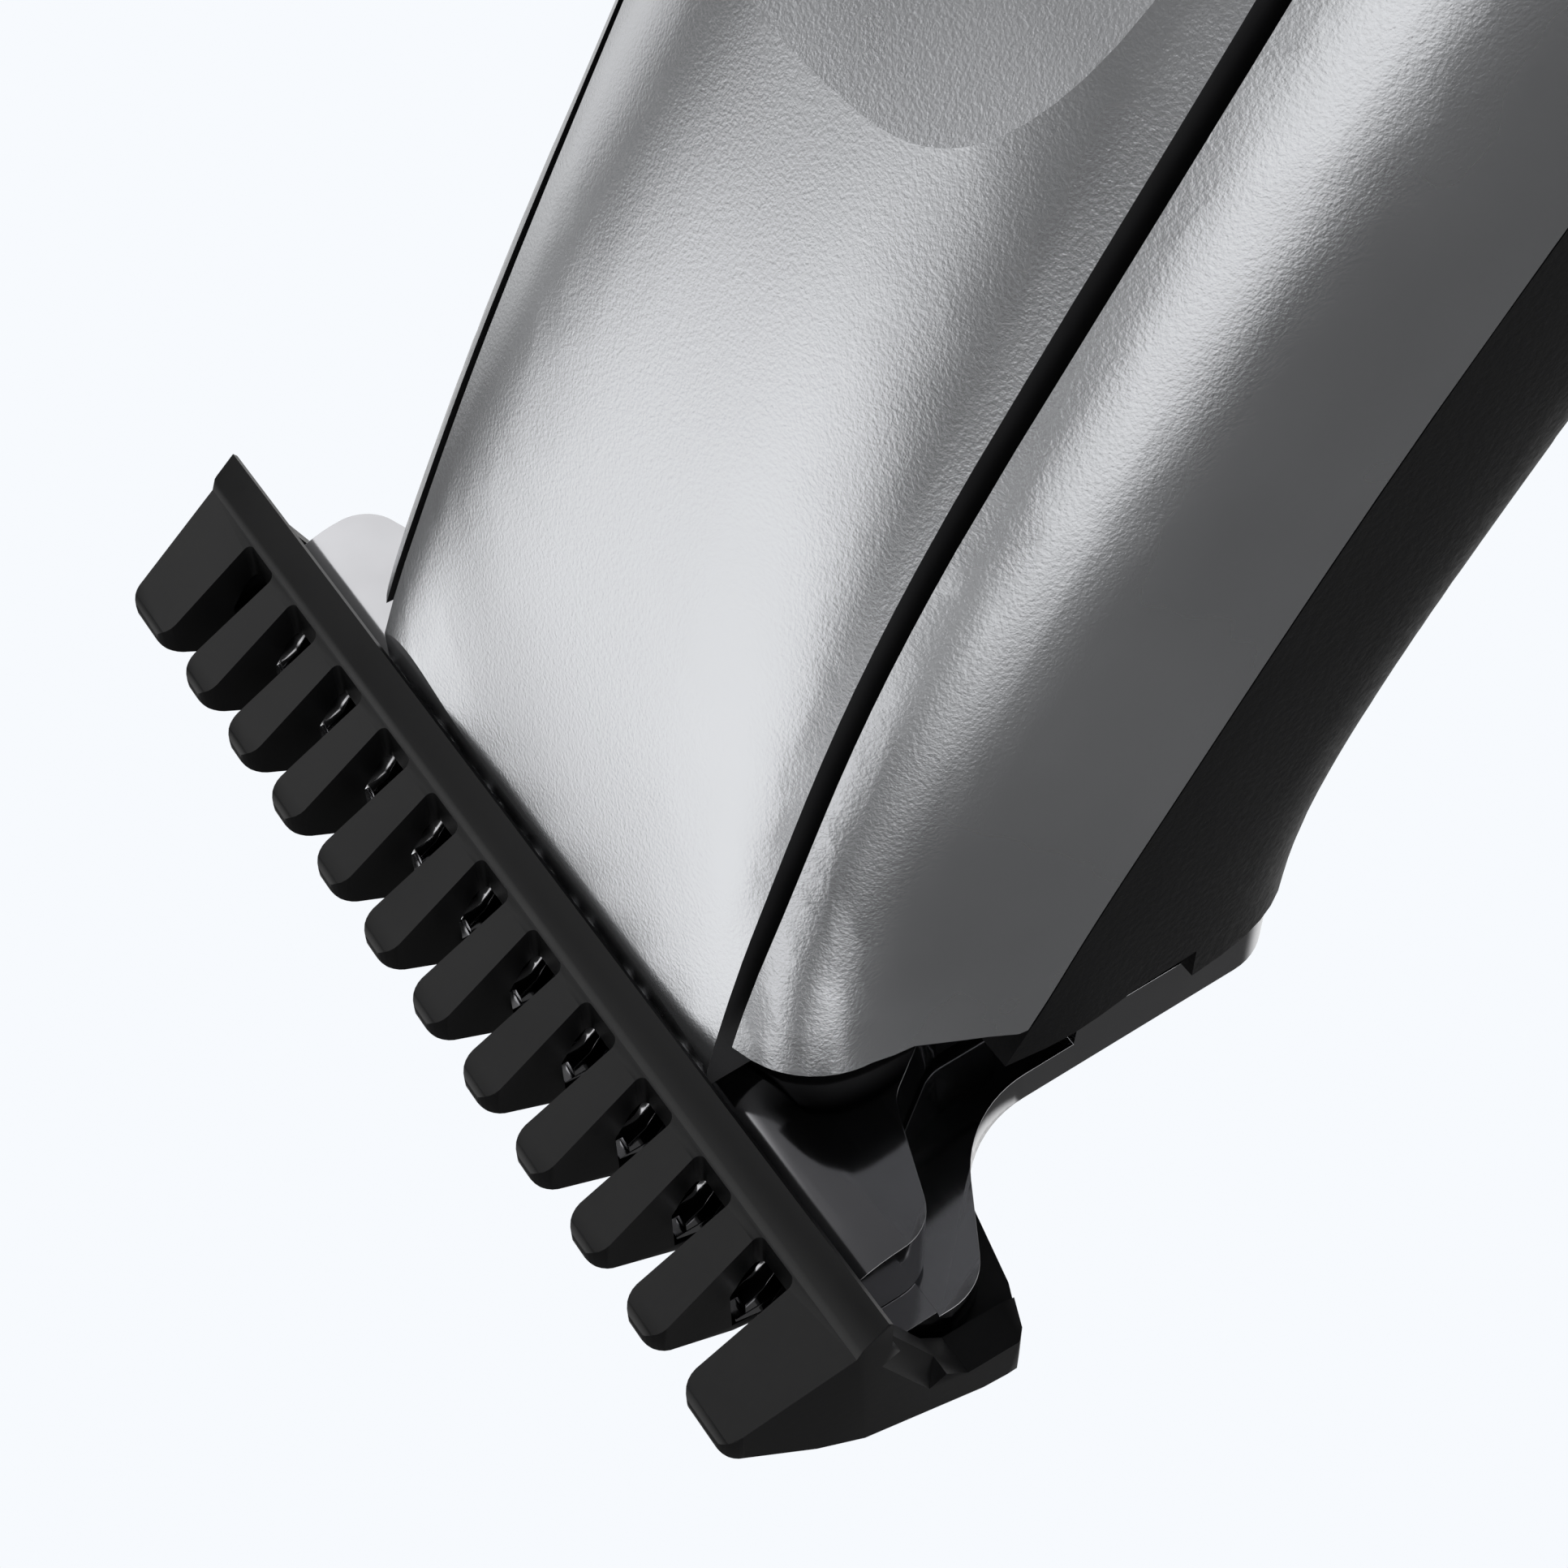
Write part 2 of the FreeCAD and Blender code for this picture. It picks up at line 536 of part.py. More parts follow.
def motor():
    can = rod(MOTOR_R, Vector(0, MOTOR_Y, MOTOR_LOW), Vector(0, MOTOR_Y, MOTOR_HIGH))
    can = can.common(box(-20, 20, MOTOR_Y - MOTOR_FLAT, MOTOR_Y + MOTOR_FLAT, 100, 140))
    boss = rod(3.0, Vector(0, MOTOR_Y, MOTOR_HIGH), Vector(0, MOTOR_Y, MOTOR_HIGH + 1.2))
    return can.fuse(boss).cut(rod(1.05, Vector(0, MOTOR_Y, 112), Vector(0, MOTOR_Y, 140)))


def motor_shaft():
    return rod(1.0, Vector(0, MOTOR_Y, 113), Vector(0, MOTOR_Y, 135.4))


def eccentric():
    disc = rod(3.2, Vector(0, MOTOR_Y, 133.7), Vector(0, MOTOR_Y, 136.0))
    pin = rod(PIN_R, Vector(ECCENTRIC, MOTOR_Y, 136.0), Vector(ECCENTRIC, MOTOR_Y, 140.2))
    return disc.fuse(pin).cut(rod(1.0, Vector(0, MOTOR_Y, 130), Vector(0, MOTOR_Y, 135.4)))


def motor_mount():
    plate = box(-14, 14, -14, 8, MOTOR_HIGH, MOUNT_TOP)
    wall = box(-14, 14, 4.6, 6.0, 106, MOTOR_HIGH)
    mount = plate.fuse(wall).common(handle(WALL + 0.15, 100.0, 140.0))
    return mount.cut(rod(3.6, Vector(0, MOTOR_Y, 120), Vector(0, MOTOR_Y, 140)))


# ---- inside the handle ------------------------------------------------------
def chassis():
    plate = box(-12.0, 12.0, -8.6, -7.4, 12, 108)
    ribs = []
    for low in (29.0, 50.0, 70.0):
        rib = box(-11.4, 11.4, -7.4, CELL_Y, low, low + 3)
        ribs.append(rib.cut(rod(CELL_R + 0.15, Vector(0, CELL_Y, 0), Vector(0, CELL_Y, 100))))
    stops = [box(-6, 6, -7.4, 6, 23.2, 24.8), box(-6, 6, -7.4, 6, 77.2, 78.8)]
    posts = []
    for x in (-4, 4):
        for height in (30, 80):
            posts.append(rod(1.5, Vector(x, BOARD_REAR, height), Vector(x, -8.6, height)))
    feet = [box(x - 3.0, x + 3.0, -8.6, 3.0, 9.0, 12.0) for x in (-TAIL_SCREW_X, TAIL_SCREW_X)]
    body = fuse([plate] + ribs + stops + posts + feet)
    for x in (-TAIL_SCREW_X, TAIL_SCREW_X):
        body = body.cut(rod(0.9, Vector(x, 0, 5), Vector(x, 0, 20)))
    for x, height in CASE_SCREWS:
        body = body.cut(rod(1.2, Vector(x, -10, height), Vector(x, -6, height)))
    return body


def case_screws():
    screws = []
    for x, height in CASE_SCREWS:
        shank = rod(0.85, Vector(x, -12.2, height), Vector(x, -7.3, height))
        screws.append(shank.fuse(rod(1.9, Vector(x, -7.4, height), Vector(x, -6.2, height))))
    return Part.makeCompound(screws)


def tail_screws():
    screws = []
    for x in (-TAIL_SCREW_X, TAIL_SCREW_X):
        shank = rod(0.9, Vector(x, 0, 1.5), Vector(x, 0, 11.6))
        head = rod(1.95, Vector(x, 0, 0.5), Vector(x, 0, 1.6))
        slot = box(x - 1.2, x + 1.2, -0.25, 0.25, 0, 0.9)
        slot_2 = box(x - 0.25, x + 0.25, -1.2, 1.2, 0, 0.9)
        screws.append(shank.fuse(head).cut([slot, slot_2]))
    return Part.makeCompound(screws)


def circuit_board():
    return box(-7.2, 7.2, BOARD_FRONT, BOARD_REAR, 14, 108.5)


def board_parts():
    """Driver chips and a coil on the circuit board."""
    parts = [box(-2.5, 2.5, -11.6, BOARD_FRONT, 60, 65), box(-5.2, -1.2, -12.4, BOARD_FRONT, 48, 52),
             box(1.5, 4.5, -11.4, BOARD_FRONT, 42, 45), box(-4.5, -2.5, -11.5, BOARD_FRONT, 34, 37)]
    return Part.makeCompound(parts)


def tact_switch():
    body = box(-3, 3, -12.0, BOARD_FRONT, BUTTON_HEIGHT - 3, BUTTON_HEIGHT + 3)
    return body.fuse(rod(1.3, Vector(0, -12.3, BUTTON_HEIGHT), Vector(0, -12.0, BUTTON_HEIGHT)))


def power_button():
    cap = rod(BUTTON_R, Vector(0, -14.35, BUTTON_HEIGHT), Vector(0, -13.1, BUTTON_HEIGHT))
    edge = [e for e in cap.Edges if e.Length > 20 and e.Vertexes[0].Y < -14]
    cap = cap.makeFillet(0.35, edge)
    return cap.fuse(rod(1.6, Vector(0, -13.1, BUTTON_HEIGHT), Vector(0, -12.7, BUTTON_HEIGHT)))


def light_pipe():
    return rod(1.0, Vector(0, -15.45, LIGHT_HEIGHT), Vector(0, -11.8, LIGHT_HEIGHT))


def status_light():
    return box(-0.8, 0.8, -11.5, BOARD_FRONT, LIGHT_HEIGHT - 0.8, LIGHT_HEIGHT + 0.8)


def battery_cell():
    can = rod(CELL_R, Vector(0, CELL_Y, CELL_LOW), Vector(0, CELL_Y, CELL_LOW + CELL_LENGTH - 0.8))
    top = rod(3.2, Vector(0, CELL_Y, CELL_LOW + 40), Vector(0, CELL_Y, CELL_LOW + CELL_LENGTH))
    return can.fuse(top)


def battery_tabs():
    low = box(-3, 3, -6.6, 6, CELL_LOW - 0.4, CELL_LOW)
    high = box(-3, 3, -6.6, 6, CELL_LOW + CELL_LENGTH, CELL_LOW + CELL_LENGTH + 0.4)
    return Part.makeCompound([low, high])


def motor_leads():
    leads = [rod(0.37, Vector(x, -9.0, 106.6), Vector(x, -9.0, MOTOR_LOW)) for x in (-3, 3)]
    return Part.makeCompound(leads)


def charge_board():
    return box(-5.8, 5.8, PORT_Y + 1.65, PORT_Y + 2.65, 3.4, 16)


def charge_port():
    shell = box(-4.47, 4.47, PORT_Y - 1.63, PORT_Y + 1.63, 1.0, 8.3)
    shell = shell.makeFillet(1.5, upright_edges(shell))
    hollow = box(-4.15, 4.15, PORT_Y - 1.3, PORT_Y + 1.3, 0, 7.3)
    hollow = hollow.makeFillet(1.2, upright_edges(hollow))
    tongue = box(-3.35, 3.35, PORT_Y - 0.35, PORT_Y + 0.35, 1.8, 8.0)
    return shell.cut(hollow).fuse(tongue)


# ---- write every node -------------------------------------------------------
NODES = {
    "front_panel": front_panel(),
    "left_side_panel": side_panel(-1),
    "right_side_panel": side_panel(1),
    "rear_shell": rear_shell(),
    "tail_cap": tail_cap(),
    "fixed_blade": fixed_blade(),
    "moving_blade": moving_blade(),
    "blade_seat": blade_seat(),
    "blade_screws": blade_screws(),
    "blade_spring": blade_spring(),
    "guide_comb": guide_comb(),
    "cam_follower": cam_follower(),
    "motor": motor(),
    "motor_shaft": motor_shaft(),
    "eccentric": eccentric(),
    "motor_mount": motor_mount(),
    "chassis": chassis(),
    "case_screws": case_screws(),
    "tail_screws": tail_screws(),
    "circuit_board": circuit_board(),
    "board_parts": board_parts(),
    "tact_switch": tact_switch(),
    "power_button": power_button(),
    "light_pipe": light_pipe(),
    "status_light": status_light(),
    "battery_cell": battery_cell(),
    "battery_tabs": battery_tabs(),
    "motor_leads": motor_leads(),
    "charge_board": charge_board(),
    "charge_port": charge_port(),
}

for node, shape in NODES.items():
    save(node, shape)
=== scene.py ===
import math

import bpy
from bpy.props import FloatProperty, FloatVectorProperty, PointerProperty
from mathutils import Matrix, Vector

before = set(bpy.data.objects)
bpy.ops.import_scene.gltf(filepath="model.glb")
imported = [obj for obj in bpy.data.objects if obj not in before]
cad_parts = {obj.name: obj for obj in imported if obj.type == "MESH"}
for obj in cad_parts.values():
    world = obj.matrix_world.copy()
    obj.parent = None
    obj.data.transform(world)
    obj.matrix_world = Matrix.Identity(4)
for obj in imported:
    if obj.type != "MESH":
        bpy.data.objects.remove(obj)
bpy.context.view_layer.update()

bl_info = {
    "name": "Hair clipper",
    "version": (1, 0, 0),
    "blender": (4, 5, 0),
    "location": "View3D > Sidebar > Clipper",
    "description": "Finishes and details a cordless T-blade hair clipper on its CAD frame",
    "category": "Object",
}

MM = 0.001

# Noise values between these two cover nearly all of a surface.
NOISE_LOW = 0.3
NOISE_HIGH = 0.7

# Faces of a casing panel belong to its outer skin past these parts of a unit normal.
FRONT_FACING = -0.25
SIDE_FACING = 0.12
LIP_FACING = -0.5
TOP_FACING = 0.6

# The edge modifiers: corners welded within this distance, edges rounded past this turn.
WELD_REACH = 0.004 * MM
SHARP_TURN = math.radians(32.0)
FLAT_WEIGHT = 80

# Soft lights: direction, cosine at the outer rim, cosine at the full middle, setting for strength.
LAMPS = (
    ((0.40, -0.62, 0.67), 0.87, 0.97, "key"),
    ((-0.90, -0.40, 0.12), 0.885, 0.965, "rim"),
    ((-0.33, -0.74, 0.59), 0.961, 0.99, "rim"),
    ((0.98, -0.10, 0.20), 0.92, 0.985, "side"),
    ((0.45, 0.75, 0.48), 0.75, 0.93, "back"),
    ((0.47, -0.88, 0.02), 0.984, 0.996, "low"),
)
BACKDROP = (0.93, 0.955, 0.99)

# The floor: its size, and the lines along X where the reflectors on it begin and are full.
FLOOR_SIZE = 6.0
CARD_RIGHT = (0.085, 0.12)
CARD_LEFT = (-0.12, -0.16)

# The nearest distance that the camera shows.
CAMERA_NEAR = 5.0 * MM


# ---- shader maths -----------------------------------------------------------
class Value:
    """A socket of a shader tree; arithmetic on it adds Math nodes."""

    def __init__(self, finish, socket):
        self.finish = finish
        self.socket = socket

    def _math(self, operation, first, second):
        return self.finish.add("ShaderNodeMath", {"operation": operation}, {0: first, 1: second})

    def __add__(self, other):
        return self._math("ADD", self, other)

    def __radd__(self, other):
        return self._math("ADD", other, self)

    def __sub__(self, other):
        return self._math("SUBTRACT", self, other)

    def __rsub__(self, other):
        return self._math("SUBTRACT", other, self)

    def __mul__(self, other):
        return self._math("MULTIPLY", self, other)

    def __rmul__(self, other):
        return self._math("MULTIPLY", other, self)


class Finish:
    """A procedural material under construction, on Object coordinates."""

    def __init__(self, name):
        self.material = bpy.data.materials.new(name)
        self.material.use_nodes = True
        self.tree = self.material.node_tree
        self.tree.nodes.clear()
        self.place = self.add("ShaderNodeTexCoord", {}, {}, "Object")

    def add(self, kind, settings, links, output=0):
        """One node: its settings are made first, then its sockets' values or links."""
        node = self.tree.nodes.new(kind)
        for key, value in settings.items():
            setattr(node, key, value)
        for key, value in links.items():
            socket = node.inputs[key]
            if isinstance(value, Value):
                self.tree.links.new(value.socket, socket)
            else:
                socket.default_value = value
        return Value(self, node.outputs[output]) if node.outputs else None

    def noise(self, size, detail=2.0, roughness=0.5, place=None):
        """Noise whose features are about this size; detail adds finer layers to it."""
        links = {"Vector": place or self.place, "Scale": 1.0 / size, "Detail": detail,
                 "Roughness": roughness}
        return self.add("ShaderNodeTexNoise", {}, links, "Fac")

    def spread(self, value, to_low=0.0, to_high=1.0, low=NOISE_LOW, high=NOISE_HIGH):
        """A value between low and high, stretched to another range."""
        links = {"Value": value, "From Min": low, "From Max": high, "To Min": to_low, "To Max": to_high}
        return self.add("ShaderNodeMapRange", {"clamp": True}, links, "Result")

    def toward(self, direction):
        """How far the place lies along a direction."""
        return self.add("ShaderNodeVectorMath", {"operation": "DOT_PRODUCT"},
                        {0: self.place, 1: tuple(direction)}, "Value")

    def soft_edge(self, value, start, full):
        """0 before the start, 1 past the full mark, and smooth between."""
        return self.add("ShaderNodeMapRange", {"interpolation_type": "SMOOTHSTEP"},
                        {"Value": value, "From Min": start, "From Max": full}, "Result")

    def stretched_place(self, scale):
        """Object coordinates scaled along each axis, which draws a pattern out into lines."""
        return self.add("ShaderNodeMapping", {}, {"Vector": self.place, "Scale": scale}, "Vector")

    def mix(self, factor, first, second):
        """One colour where the factor is 0, the other where it is 1."""
        node = self.tree.nodes.new("ShaderNodeMix")
        node.data_type = "RGBA"
        for key, value in zip((0, 6, 7), (factor, first, second)):
            socket = node.inputs[key]
            if isinstance(value, Value):
                self.tree.links.new(value.socket, socket)
            else:
                socket.default_value = (*value, 1.0) if key else value
        return Value(self, node.outputs[2])

    def bump(self, height, depth, strength):
        """A normal for a height from 0 to 1, which stands for this depth."""
        links = {"Height": height, "Distance": depth, "Strength": strength}
        return self.add("ShaderNodeBump", {}, links, "Normal")

    def finished(self, **sockets):
        """Ends the tree in one Principled shader; keys are its socket names."""
        links = {key.replace("_", " "): value for key, value in sockets.items()}
        for key, value in links.items():
            if isinstance(value, tuple) and len(value) == 3:
                links[key] = (*value, 1.0)
        shader = self.add("ShaderNodeBsdfPrincipled", {}, links, "BSDF")
        self.add("ShaderNodeOutputMaterial", {}, {"Surface": shader})
        return self.material


def shade(colour, factor):
    """A colour made lighter or darker."""
    return tuple(factor * part for part in colour)


def silver_paint(settings):
    """Fine-grained metallic paint, slightly cloudy."""
    finish = Finish("silver_paint")
    grain = finish.noise(0.13 * MM)
    fine = finish.noise(0.06 * MM, detail=1.0)
    cloud = finish.noise(11.0 * MM, detail=3.0)
    light = tuple(settings.silver)
    colour = finish.mix(finish.spread(cloud), shade(light, 0.92), light)
    rough = finish.spread(cloud, 0.25, 0.29)
    height = grain * 0.8 + fine * 0.2
    return finish.finished(Base_Color=colour, Metallic=0.92, Roughness=rough,
                           Normal=finish.bump(height, 0.022 * MM, 0.5))


def textured_black(settings):
    """Moulded black shell with a fine grain."""
    finish = Finish("textured_black")
    grain = finish.noise(0.28 * MM, roughness=0.55)
    smear = finish.noise(18.0 * MM, detail=3.0)
    dark = tuple(settings.black)
    colour = finish.mix(finish.spread(smear), dark, shade(dark, 1.35))
    rough = finish.spread(grain + 0.2 * smear, 0.42, 0.56, low=0.35, high=0.85)
    return finish.finished(Base_Color=colour, Roughness=rough, **{"Specular IOR Level": 0.2},
                           Normal=finish.bump(grain, 0.04 * MM, 0.45))


def mirror_steel(settings):
    """Polished dark steel: fine grinding lines across the blade and faint smears."""
    finish = Finish("mirror_steel")
    lines = finish.noise(0.12 * MM, roughness=0.6, place=finish.stretched_place((0.03, 1.0, 1.0)))
    smear = finish.noise(5.0 * MM, detail=3.0)
    steel = tuple(settings.steel)
    colour = finish.mix(finish.spread(smear), shade(steel, 0.86), steel)
    rough = finish.spread(smear * 0.6 + lines * 0.4, 0.07, 0.14)
    return finish.finished(Base_Color=colour, Metallic=1.0, Roughness=rough,
                           Normal=finish.bump(lines, 0.002 * MM, 0.12))


def satin_black(settings):
    """Smooth black plastic with a satin gloss."""
    finish = Finish("satin_black")
    grain = finish.noise(0.25 * MM)
    smear = finish.noise(6.0 * MM, detail=3.0)
    dark = tuple(settings.comb)
    colour = finish.mix(finish.spread(smear), dark, shade(dark, 1.25))
    rough = finish.spread(smear + 0.3 * grain, 0.30, 0.40, low=0.4, high=0.9)
    return finish.finished(Base_Color=colour, Roughness=rough, **{"Specular IOR Level": 0.24},
                           Normal=finish.bump(grain, 0.006 * MM, 0.2))


def moulded(name, colour, rough, variation=1.2):
    """Moulded plastic with flow marks and a fine grain."""
    finish = Finish(name)
    grain = finish.noise(0.3 * MM)
    flow = finish.noise(5.0 * MM, detail=3.0)
    base = finish.mix(finish.spread(flow), colour, shade(colour, variation))
    return finish.finished(Base_Color=base, Roughness=finish.spread(flow, rough, rough + 0.1),
                           Normal=finish.bump(grain, 0.01 * MM, 0.3))


def metal(name, colour, rough, lines_along=2):
    """Drawn or turned metal with fine lines along one axis."""
    finish = Finish(name)
    scale = [1.0, 1.0, 1.0]
    scale[lines_along] = 0.04
    lines = finish.noise(0.2 * MM, roughness=0.6, place=finish.stretched_place(tuple(scale)))
    spots = finish.noise(3.0 * MM, detail=3.0)
    base = finish.mix(finish.spread(spots), shade(colour, 0.82), colour)
    return finish.finished(Base_Color=base, Metallic=1.0,
                           Roughness=finish.spread(lines * 0.7 + spots * 0.3, rough, rough + 0.14),
                           Normal=finish.bump(lines, 0.006 * MM, 0.3))


def solder_mask():
    """Green circuit board with copper tracks under the mask."""
    finish = Finish("solder_mask")
    tracks = finish.add("ShaderNodeTexVoronoi", {"feature": "DISTANCE_TO_EDGE", "distance": "EUCLIDEAN"},
                        {"Vector": finish.place, "Scale": 420.0}, "Distance")
    mask = finish.spread(tracks, low=0.04, high=0.07)
    cloud = finish.noise(4.0 * MM)
    copper = finish.mix(mask, (0.03, 0.16, 0.06), (0.012, 0.09, 0.035))
    colour = finish.mix(finish.spread(cloud, 0.0, 0.25), copper, (0.02, 0.12, 0.05))
    return finish.finished(Base_Color=colour, Roughness=finish.spread(cloud, 0.28, 0.4),
                           Normal=finish.bump(1 - mask, 0.02 * MM, 0.4))


def paint_nodes(material, *names):
    """Gives CAD nodes a finish in place of their plain one."""
    for name in names:
        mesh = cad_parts[name].data
        mesh.materials.clear()
        mesh.materials.append(material)


def line_and_shade_inside(name, material, is_outer):
    """Gives the faces of a casing piece that aren't its outer skin another finish."""
    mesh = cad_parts[name].data
    mesh.materials.append(material)
    for face in mesh.polygons:
        if not is_outer(face.normal):
            face.material_index = 1


def front_skin(normal):
    """The face of the front panel."""
    return normal.y < FRONT_FACING


def lip_skin(normal):
    """The strip of a side panel that turns round to the front."""
    return normal.y < LIP_FACING and normal.z < TOP_FACING


def left_skin(normal):
    """The face of the left panel."""
    return normal.x < -SIDE_FACING or lip_skin(normal)


def right_skin(normal):
    """The face of the right panel."""
    return normal.x > SIDE_FACING or lip_skin(normal)


def soften(name, width, segments):
    """Live modifiers that round a CAD node's edges to the real piece's small radii."""
    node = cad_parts[name]
    weld = node.modifiers.new("weld", "WELD")
    weld.merge_threshold = WELD_REACH
    bevel = node.modifiers.new("edges", "BEVEL")
    bevel.width = width
    bevel.segments = segments
    bevel.limit_method = "ANGLE"
    bevel.angle_limit = SHARP_TURN
    bevel.use_clamp_overlap = True
    bevel.harden_normals = False
    for face in node.data.polygons:
        face.use_smooth = True
    shading = node.modifiers.new("shading", "WEIGHTED_NORMAL")
    shading.weight = FLAT_WEIGHT


# ---- settings ---------------------------------------------------------------
class ClipperLooks(bpy.types.PropertyGroup):
    silver: FloatVectorProperty(name="Silver", description="Colour of the painted casing", size=3,
                                default=(0.62, 0.63, 0.65), subtype="COLOR", min=0.0, max=1.0)
    black: FloatVectorProperty(name="Shell black", description="Colour of the rear shell", size=3,
                               default=(0.0035, 0.0035, 0.0038), subtype="COLOR", min=0.0, max=1.0)
    comb: FloatVectorProperty(name="Comb black", description="Colour of the guide comb", size=3,
                              default=(0.0045, 0.0045, 0.0048), subtype="COLOR", min=0.0, max=1.0)
    steel: FloatVectorProperty(name="Steel", description="Colour of the polished blades", size=3,
                               default=(0.46, 0.46, 0.475), subtype="COLOR", min=0.0, max=1.0)
    comb_edge: FloatProperty(name="Comb edge", description="Edge radius of the guide comb",
                             default=0.20 * MM, min=0.0, subtype="DISTANCE", unit="LENGTH")
    blade_edge: FloatProperty(name="Blade edge", description="Edge radius of the blades",
                              default=0.08 * MM, min=0.0, subtype="DISTANCE", unit="LENGTH")


class ClipperStage(bpy.types.PropertyGroup):
    lens: FloatProperty(name="Lens", description="Focal length on a 36 mm sensor", default=63.95,
                        min=10.0, subtype="DISTANCE_CAMERA", unit="CAMERA")
    eye: FloatVectorProperty(name="Camera place", description="Where the camera stands",
                             default=(-0.05170, -0.07001, 0.08966), subtype="TRANSLATION", unit="LENGTH")
    gaze: FloatVectorProperty(name="Gaze", description="Direction in which the camera looks",
                              default=(0.50515, 0.67625, 0.53621), subtype="DIRECTION")
    top: FloatVectorProperty(name="Camera top", description="Direction that is up in the camera's view",
                             default=(0.66179, 0.09527, -0.74361), subtype="DIRECTION")
    fill: FloatProperty(name="Fill light", description="Brightness of the studio's walls",
                        default=0.075, min=0.0)
    key: FloatProperty(name="Key light", description="Brightness of the large soft light", default=1.3,
                       min=0.0)
    card: FloatProperty(name="Card light", description="Brightness of the reflectors on the floor",
                        default=1.4, min=0.0)
    rim: FloatProperty(name="Rim light", description="Brightness of the two lights on the left",
                       default=1.25, min=0.0)
    side: FloatProperty(name="Side light", description="Brightness of the light on the right",
                        default=0.9, min=0.0)
    back: FloatProperty(name="Back light", description="Brightness of the large light behind",
                        default=0.8, min=0.0)
    low: FloatProperty(name="Low light", description="Brightness of the small light near the floor",
                       default=1.0, min=0.0)


# ---- operators --------------------------------------------------------------
class CLIPPER_OT_casing(bpy.types.Operator):
    """Paints the casing panels silver and the rear shell black"""
    bl_idname = "clipper.casing"
    bl_label = "Casing"

    def execute(self, context):
        looks = context.scene.clipper_looks
        paint_nodes(silver_paint(looks), "front_panel", "left_side_panel", "right_side_panel")
        paint_nodes(textured_black(looks), "rear_shell", "tail_cap")
        paint_nodes(moulded("button_black", (0.014, 0.014, 0.015), 0.16), "power_button")
        paint_nodes(moulded("clear_pipe", (0.75, 0.78, 0.80), 0.12, 1.1), "light_pipe")
        # The panels' inner faces, including the walls along the groove, get a near-black finish. It is
        # partly the unpainted inner plastic and partly painted shade for the groove and the open nose,
        # which lie in shadow.
        lining_and_shade = moulded("casing_lining_and_shade", (0.012, 0.012, 0.013), 0.5)
        skins = {"front_panel": front_skin, "left_side_panel": left_skin, "right_side_panel": right_skin}
        for name, skin in skins.items():
            line_and_shade_inside(name, lining_and_shade, skin)
        return {"FINISHED"}


class CLIPPER_OT_blades(bpy.types.Operator):
    """Finishes the blades, their seat and the comb"""
    bl_idname = "clipper.blades"
    bl_label = "Blades and comb"

    def execute(self, context):
        looks = context.scene.clipper_looks
        paint_nodes(mirror_steel(looks), "fixed_blade", "moving_blade")
        paint_nodes(satin_black(looks), "guide_comb")
        paint_nodes(moulded("inner_black", (0.02, 0.02, 0.021), 0.42), "blade_seat", "motor_mount",
                    "chassis")
        paint_nodes(moulded("natural_acetal", (0.70, 0.69, 0.64), 0.35), "cam_follower")
        paint_nodes(metal("plated_screw", (0.55, 0.55, 0.56), 0.22), "blade_screws", "case_screws",
                    "tail_screws")
        paint_nodes(metal("spring_wire", (0.60, 0.60, 0.60), 0.2, 0), "blade_spring")
        soften("guide_comb", looks.comb_edge, 3)
        soften("fixed_blade", looks.blade_edge, 2)
        soften("moving_blade", looks.blade_edge, 2)
        return {"FINISHED"}


class CLIPPER_OT_inside(bpy.types.Operator):
    """Finishes the drive, the cell, the boards and the charging port"""
    bl_idname = "clipper.inside"
    bl_label = "Inside"

    def execute(self, context):
        paint_nodes(metal("motor_can", (0.58, 0.58, 0.58), 0.3), "motor")
        paint_nodes(metal("ground_shaft", (0.66, 0.66, 0.67), 0.15), "motor_shaft")
        paint_nodes(metal("turned_brass", (0.72, 0.52, 0.22), 0.25, 0), "eccentric")
        paint_nodes(solder_mask(), "circuit_board", "charge_board")
        paint_nodes(moulded("chip_black", (0.03, 0.03, 0.03), 0.4), "board_parts", "tact_switch")
        paint_nodes(moulded("lamp_white", (0.80, 0.80, 0.72), 0.15, 1.1), "status_light")
        paint_nodes(moulded("cell_wrap", (0.08, 0.20, 0.50), 0.3), "battery_cell")
        paint_nodes(metal("nickel_strip", (0.68, 0.66, 0.60), 0.3, 1), "battery_tabs")
        paint_nodes(moulded("lead_red", (0.45, 0.03, 0.03), 0.4), "motor_leads")
        paint_nodes(metal("port_steel", (0.58, 0.58, 0.60), 0.25), "charge_port")
        return {"FINISHED"}


class CLIPPER_OT_stage(bpy.types.Operator):
    """Sets the floor, the studio light and the camera"""
    bl_idname = "clipper.stage"
    bl_label = "Stage"

    def execute(self, context):
        stage = context.scene.clipper_stage
        scene = context.scene
        scene.view_settings.view_transform = "Standard"
        camera = bpy.data.cameras.new("camera")
        camera.lens = stage.lens
        camera.clip_start = CAMERA_NEAR
        holder = bpy.data.objects.new("camera", camera)
        scene.collection.objects.link(holder)
        forward = Vector(stage.gaze).normalized()
        side = forward.cross(Vector(stage.top)).normalized()
        up = side.cross(forward)
        turn = Matrix((side, up, -forward)).transposed().to_4x4()
        holder.matrix_world = Matrix.Translation(Vector(stage.eye)) @ turn
        scene.camera = holder

        bpy.ops.object.select_all(action="DESELECT")
        bpy.ops.mesh.primitive_plane_add(size=FLOOR_SIZE, location=(0.0, 0.0, 0.0))
        floor = context.object
        floor.name = "floor"
        floor.data.materials.append(pale_floor(stage))

        # The studio: a bright backdrop for the camera, soft lights on the walls for all else.
        world = bpy.data.worlds.new("studio")
        scene.world = world
        world.use_nodes = True
        room = Room(world.node_tree)
        light = stage.fill
        for direction, outer, inner, strength in LAMPS:
            light = room.glow(direction, outer, inner, getattr(stage, strength)) + light
        room.finished(light, BACKDROP)
        return {"FINISHED"}


